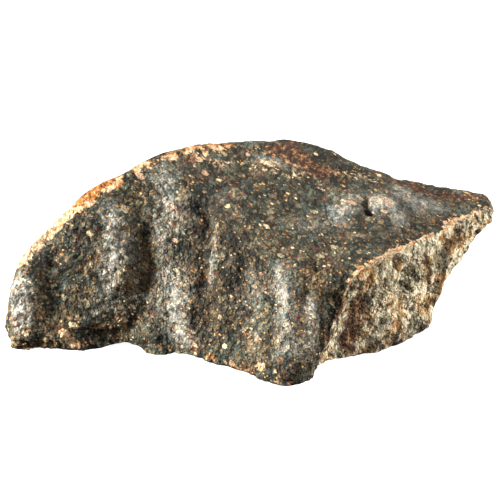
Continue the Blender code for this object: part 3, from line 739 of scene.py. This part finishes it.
# Shares of the masks and noises; a fade is its low, high, bottom and top
finish = {
    "grainEdge": (1.10, 0.82),
    "outlineEdges": ((1.55, 1.05), (1.05, 0.85)),
    "blotchShare": (0.55, 0.30, 0.32),  # everywhere, more where pale, less on the top
    "tingeFade": (0.42, 0.60),
    "tingeLessTop": 0.5,
    "wornFade": (0.35, 0.62),
    "wornLeast": (0.62, 0.15),  # everywhere, more on the top
    "wornShare": 0.86,
    "fineLessTop": 0.25,
    "even": (0.25, 0.30),  # how even the grains are on the top, and where worn
    # Shades: painted light on the tops of the fine bumps, and painted shade in their lows and in the gaps
    # between grains
    "shades": {"tiny": (0.32, 0.70, -0.22, 0.22), "close": (0.34, 0.66, -0.30, 0.30),
               "fineGap": (0.30, 0.72, 0.08, -0.26), "knob": (0.35, 0.75, 0.08, -0.30)},
    "darkestShade": 0.2,
    "swarms": (0.36, 0.62, 0.22, 0.64),
    "darkShade": 0.55,
    "faceBright": (0.04, 0.10),  # what the cream mark adds to the tone and the depth
    "faceHollowFade": (0.49, 0.39, 0.0, 0.85),
    "facePitFade": (0.34, 0.46, 0.20, 1.0),
    "faceSpeckShare": 0.5,
    "faceDarkShade": 0.68,
    "faceEdgeMottle": 0.6,
    "faceEdge": (0.68, 0.88),
    "veinShares": (1.1, 0.5),  # of mottle or streaks, and of the close noise
    "marks": {"orange": (1.20, 0.92), "cream": (1.16, 0.94), "rust": (1.16, 0.80)},  # low, most
    "markShare": 0.85,
    "markFade": 0.2,
    "creamLessBreak": 0.6,
    "tealMottle": 0.6,
    "tealFade": (0.9, 1.2, 0.0, 0.8),
    # Speckles: painted shade and light that follow the fine bumps and the gaps between grains
    "speckles": {"tiny": (0.34, 0.68, 0.86, 1.14), "fineGap": (0.35, 0.75, 1.05, 0.75)},
    "gamma": 1.24,
    "gain": 1.12,
    "roughness": (0.3, 0.7, 0.78, 0.95),
    "gloss": (0.22, 0.05),  # where worn, and on the top
    "ior": 1.38,
    "gapBumps": {"fineGap": (0.1, 0.75, 0.22, 0.0), "knob": (0.1, 0.8, 0.40, 0.0)},  # millimetres
    "bumps": {"largeDrop": 0.2, "close": 0.5, "tiny": 0.14},
    "smooth": (0.5, 0.35),  # how much less bump on the top, and where worn
}

# Screen colours, with their places on a ramp
colours = {
    "ground": ((0.32, (24, 24, 16)), (0.42, (42, 42, 30)), (0.50, (56, 60, 50)), (0.57, (58, 47, 30)),
        (0.66, (32, 29, 19))),
    "blotches": ((0.34, (26, 26, 17)), (0.42, (66, 64, 46)), (0.49, (88, 95, 84)), (0.56, (128, 118, 96)),
        (0.64, (176, 164, 144))),
    # Cool grey-white of the worn crust and of the painted sheen on the ridges
    "worn": ((0.34, (118, 125, 122)), (0.46, (154, 158, 153)), (0.54, (174, 171, 162)),
        (0.64, (202, 195, 183))),
    "patches": ((0.0, (36, 37, 28)), (0.14, (120, 114, 92)), (0.28, (82, 98, 92)), (0.42, (128, 112, 98)),
        (0.52, (27, 27, 19)), (0.66, (154, 144, 122)), (0.78, (88, 64, 40)),
        (0.88, (112, 124, 116))),
    "grains": ((0.0, (28, 28, 23)), (0.26, (92, 92, 80)), (0.48, (112, 84, 54)), (0.64, (132, 122, 100)),
        (0.80, (140, 100, 58)), (0.94, (180, 162, 128))),
    "chondrules": ((0.0, (120, 116, 96)), (0.22, (166, 154, 126)), (0.42, (96, 60, 46)),
        (0.56, (186, 156, 130)), (0.72, (84, 92, 84)), (0.86, (214, 198, 164))),
    "specks": ((0.0, (172, 120, 68)), (0.34, (194, 154, 100)), (0.58, (128, 84, 50)),
        (0.74, (216, 194, 152)), (0.90, (116, 66, 42))),
    "face": ((0.36, (158, 126, 82)), (0.44, (206, 182, 144)), (0.50, (236, 222, 194)),
        (0.56, (220, 212, 188)), (0.64, (172, 164, 136))),
    "faceGrains": ((0.0, (226, 214, 188)), (0.20, (160, 130, 86)), (0.38, (128, 128, 108)),
        (0.54, (66, 46, 26)), (0.70, (190, 174, 142)), (0.82, (32, 24, 15)),
        (0.92, (168, 108, 54))),
    "cream": ((0.30, (124, 92, 64)), (0.40, (180, 144, 108)), (0.51, (206, 174, 140)),
        (0.62, (222, 200, 172))),
    "orange": ((0.34, (108, 66, 32)), (0.43, (158, 104, 54)), (0.54, (188, 132, 72)),
        (0.66, (206, 174, 126))),
    "rust": ((0.36, (34, 21, 14)), (0.46, (74, 45, 29)), (0.54, (104, 66, 42)), (0.64, (174, 142, 100))),
    # Brown of the broken face's hollows, carrying their painted shade
    "faceHollow": (64, 50, 32),
    "teal": (34, 68, 68),
    "tinge": (1.16, 0.96, 0.70, 1.0),  # how much of red, green and blue a brown tinge keeps
}


def fades(name):
    # One layer's noises, each faded as the layer says
    return [fade(has[noise], *ends) for noise, ends in finish[name].items()]


def layGrains(skin, name, share=None):
    # Grains in cells of about size mm, laid on the skin: share of the cells show one, of radius to
    # radius + spread in units of size, and it covers what is under it by most x (1 - lessTop x top).
    # Gap is the distance to the grain's middle; a dark ring is a fade in, less a fade in further in
    place, size, usual, radius, spread, stops, most, lessTop, dark = grains[name]
    cell = addNode("ShaderNodeTexVoronoi", {"Vector": at[place], "Scale": 1 / size}, feature="F1")
    pick = addNode("ShaderNodeSeparateColor", {0: cell.outputs["Color"]}).outputs
    gap = cell.outputs["Distance"]
    ratio = reckon(gap, plus(product(pick[0], spread), radius), "DIVIDE")
    shown = reckon(pick[1], share or usual, "LESS_THAN")
    cover = product(fade(ratio, *finish["grainEdge"]), shown)
    colour = colourRamp(pick[2], colours[stops], "CONSTANT")
    if dark:
        outer, inner = finish["outlineEdges"]
        ring = less(fade(ratio, *outer), fade(ratio, *inner))
        skin = tinted(skin, less(1.0, ring, shown, dark))
    kept = less(cover, has["top"], lessTop) if lessTop else cover
    skin = blendColour(product(kept, most), skin, colour)
    return skin, {"cover": cover, "colour": colour, "gap": gap}


def groundColour():
    # Dark ground, soft pale blotches, which gather under the painted sheen and wear of the ridges, mineral
    # patches of 1 to 4 mm and broad brown tinges
    skin = colourRamp(has["wide"], colours["ground"])
    least, morePale, lessTop = finish["blotchShare"]
    share = minus(plus(least, product(has["wearAndSheen"], morePale)), product(has["top"], lessTop))
    skin = blendColour(share, skin, colourRamp(has["blotches"], colours["blotches"]))
    for name in ("largePatches", "patches", "smallPatches"):
        skin, layer = layGrains(skin, name)
    has["knob"] = layer["gap"]
    share = less(fade(has["tinge"], *finish["tingeFade"]), has["top"], finish["tingeLessTop"])
    return blendColour(share, skin, colours["tinge"], "MULTIPLY")


def wornColour(skin):
    # Worn ridges are paler, in blotches, and a painted sheen lights their slopes that face the left lamp
    least, moreTop = finish["wornLeast"]
    least = plus(least, product(has["top"], moreTop))
    has["worn"] = product(has["wearAndSheen"], fade(has["mottle"], *finish["wornFade"], least, 1.0))
    share = product(has["worn"], finish["wornShare"])
    return blendColour(share, skin, colourRamp(has["mottle"], colours["worn"]))


def grainColour(skin):
    # Grains of half a millimetre; then every grain is a little lighter or darker than the next, and painted
    # shade darkens the gaps and the low sides of the fine bumps while painted light lifts their tops:
    # colour x (1 + sum of the shades), less so on the top and under the wear and sheen
    crowd = minus(grains["fineGrains"][2], product(has["top"], finish["fineLessTop"]))
    skin, layer = layGrains(skin, "fineGrains", crowd)
    has["fineGap"] = layer["gap"]
    evenTop, evenWorn = finish["even"]
    even = less(less(1.0, has["top"], evenTop), has["worn"], evenWorn)
    shades = [product(shade, even) for shade in fades("shades")]
    shade = reckon(plus(1.0, plus(*shades)), finish["darkestShade"], "MAXIMUM")
    return tinted(skin, shade)


def dropColour(skin):
    # Chondrules and chips in dark outlines, drawn out along the slope; then the dark marks darken the skin,
    # as dark olive zones on the top and as painted shade in the hollows and under the edges; and bright
    # specks of rust, tan and cream gather in swarms
    for name in ("smallDrops", "largeDrops"):
        skin, layer = layGrains(skin, name)
    has["largeDrop"] = layer["cover"]
    skin = tinted(skin, less(1.0, has["dark"], finish["darkShade"]))
    swarm = fade(has["wide"], *finish["swarms"])
    skin, has["specks"] = layGrains(skin, "specks", swarm)
    return skin


def faceColour():
    # Broken face: a mosaic of pale, ochre and grey-green mineral with dark hollows and dark grains. The
    # hollows and pits are brown tone with painted shade, as of pits that the mesh lacks; the dark marks
    # add painted shade in its hollows and a painted shadow along its lower edge
    brighter, shallower = finish["faceBright"]
    tone = plus(has["faceTone"], product(has["cream"], brighter))
    face, _ = layGrains(colourRamp(tone, colours["face"]), "faceCoarse")
    depth = plus(has["faceDepth"], product(has["cream"], shallower))
    hollow = fade(depth, *finish["faceHollowFade"])
    face = blendColour(hollow, face, srgb(*colours["faceHollow"]))
    face = tinted(face, fade(has["facePits"], *finish["facePitFade"]))
    face, _ = layGrains(face, "faceFine")
    share = product(has["specks"]["cover"], finish["faceSpeckShare"])
    face = blendColour(share, face, has["specks"]["colour"])
    return tinted(face, less(1.0, has["dark"], finish["faceDarkShade"]))


def markColour(skin):
    # Painted marks: each shows where mark + veins pass its limit. The veins are the mottle, and
    # streaks along the slope on the top
    top = has["top"]
    veins = plus(less(has["mottle"], top), product(has["streaks"], top))
    large, small = finish["veinShares"]
    veins = plus(product(veins, large), product(has["close"], small))
    for name, (low, most) in finish["marks"].items():
        mark = has[name]
        if name == "cream":
            mark = less(mark, has["broken"], finish["creamLessBreak"])
        mark = plus(product(mark, finish["markShare"]), veins)
        share = fade(mark, low, low + finish["markFade"], 0.0, most)
        skin = blendColour(share, skin, colourRamp(has["close"], colours[name]))
    teal = plus(has["teal"], product(has["mottle"], finish["tealMottle"]))
    return blendColour(fade(teal, *finish["tealFade"]), skin, srgb(*colours["teal"]))


def stoneFinish():
    # Weathered skin with painted sheen on its ridges and painted shade in its hollows and grain gaps, the
    # broken face laid into it, and the painted marks; then gloss and fine bumps
    shader = tree.nodes["Principled BSDF"]
    skin = groundColour()
    skin = wornColour(skin)
    skin = grainColour(skin)
    skin = dropColour(skin)
    edge = plus(has["broken"], product(has["mottle"], finish["faceEdgeMottle"]))
    skin = blendColour(fade(edge, *finish["faceEdge"]), skin, faceColour())
    skin = markColour(skin)
    # Painted shade in the gaps between grains and painted light where the fine bumps stand high, over a
    # random tone
    skin = tinted(skin, product(*fades("speckles")))
    skin = addNode("ShaderNodeGamma", {"Color": skin, "Gamma": finish["gamma"]}).outputs[0]
    tree.links.new(tinted(skin, finish["gain"]), shader.inputs["Base Color"])

    # Worn ridges are polished, the rest is matt
    wornGloss, topGloss = finish["gloss"]
    rough = minus(fade(has["tiny"], *finish["roughness"]), product(has["worn"], wornGloss))
    rough = minus(rough, product(has["top"], topGloss))
    tree.links.new(rough, shader.inputs["Roughness"])
    shader.inputs["IOR"].default_value = finish["ior"]

    # Relief too fine for the mesh
    bumps = [product(has[noise], share) for noise, share in finish["bumps"].items()]
    height = plus(*fades("gapBumps"), *bumps)
    smoothTop, smoothWorn = finish["smooth"]
    kept = less(less(1.0, has["top"], smoothTop), has["worn"], smoothWorn)
    bump = addNode("ShaderNodeBump", {"Height": product(height, kept), "Strength": 1.0, "Distance": mm})
    tree.links.new(bump.outputs["Normal"], shader.inputs["Normal"])


skin = stoneSkin()
stoneFinish()
skin.data.materials.append(weathered)
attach(skin, "root")
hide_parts(stone["node"])
print("stone skin:", len(skin.data.polygons), "faces")

# The view: 20 degrees above level, through a long lens; aim is in the stone's own millimetres
view = {"elevation": 20.0, "distance": 480.0, "aim": (0.0, 0.0, 18.7), "frameWidth": 103.1,
        "sensor": 36.0, "nearest": 10.0}


def addCamera():
    # Lens so that frameWidth at the aim fills the picture: lens = sensor x distance / frameWidth
    data = bpy.data.cameras.new("camera")
    data.sensor_width = view["sensor"]
    data.lens = view["sensor"] * view["distance"] / view["frameWidth"]
    data.clip_start = view["nearest"] * mm
    camera = placed("camera", data)
    angle = math.radians(view["elevation"])
    back = Vector((0.0, -math.cos(angle), math.sin(angle)))
    aim = Vector((np.array(view["aim"]) - footprintMiddle()) * mm)
    camera.location = aim + back * view["distance"] * mm
    camera.rotation_euler = (-back).to_track_quat("-Z", "Y").to_euler()
    bpy.context.scene.camera = camera


addCamera()
print("camera set")

# Softboxes are a place in metres, width, height, watts and colour; the other lengths are metres too
studio = {
    "boxes": {
        "left": ((-0.60, -0.12, 0.28), 0.14, 0.24, 20.0, (1.0, 0.98, 0.935)),
        "right": ((0.64, -0.08, 0.16), 0.20, 0.30, 8.0, (1.0, 0.97, 0.93)),
        "front": ((0.10, -0.62, 0.36), 0.40, 0.30, 1.4, (1.0, 1.0, 1.0)),
        "back": ((0.05, 0.45, 0.36), 0.50, 0.16, 1.2, (0.96, 0.98, 1.0)),
    },
    "litPoint": (0, 0, 0.015),
    "white": (1.0, 1.0, 1.0, 1.0),
    "ambient": 0.05,
    "floorColour": (0.35, 0.35, 0.35, 1.0),
    "floorRoughness": 0.9,
    "floorGlow": 0.94,
    "floorSize": 6.0,
    "floorDrop": 0.00002,
}


def addLights():
    # One area lamp for each softbox, turned so that its face looks at litPoint; then a faint even room
    for name, (place, width, height, watts, colour) in studio["boxes"].items():
        data = bpy.data.lights.new(name + "Box", "AREA")
        data.shape = "RECTANGLE"
        data.size, data.size_y = width, height
        data.energy = watts
        data.color = colour
        lamp = placed(name + "Box", data)
        lamp.location = place
        lamp.rotation_euler = (Vector(place) - Vector(studio["litPoint"])).to_track_quat("Z", "Y").to_euler()
    world = bpy.data.worlds.new("room")
    world.use_nodes = True
    backdrop = world.node_tree.nodes["Background"]
    backdrop.inputs["Color"].default_value = studio["white"]
    backdrop.inputs["Strength"].default_value = studio["ambient"]
    bpy.context.scene.world = world
    bpy.context.scene.view_settings.view_transform = "Standard"


def addFloor():
    # One pale square centred under the stone, which glows a little and throws no light on it
    half = studio["floorSize"] / 2
    corners = [(-half, -half, 0), (half, -half, 0), (half, half, 0), (-half, half, 0)]
    mesh = bpy.data.meshes.new("floor")
    mesh.from_pydata(corners, [], [(0, 1, 2, 3)])
    floor = placed("floor", mesh)
    floor.location.z = -studio["floorDrop"]
    material = bpy.data.materials.new("paleFloor")
    material.use_nodes = True
    shader = material.node_tree.nodes["Principled BSDF"]
    shader.inputs["Base Color"].default_value = studio["floorColour"]
    shader.inputs["Roughness"].default_value = studio["floorRoughness"]
    shader.inputs["Emission Color"].default_value = studio["white"]
    shader.inputs["Emission Strength"].default_value = studio["floorGlow"]
    mesh.materials.append(material)
    floor.visible_diffuse = False
    floor.visible_glossy = False


addLights()
addFloor()
print("studio set")
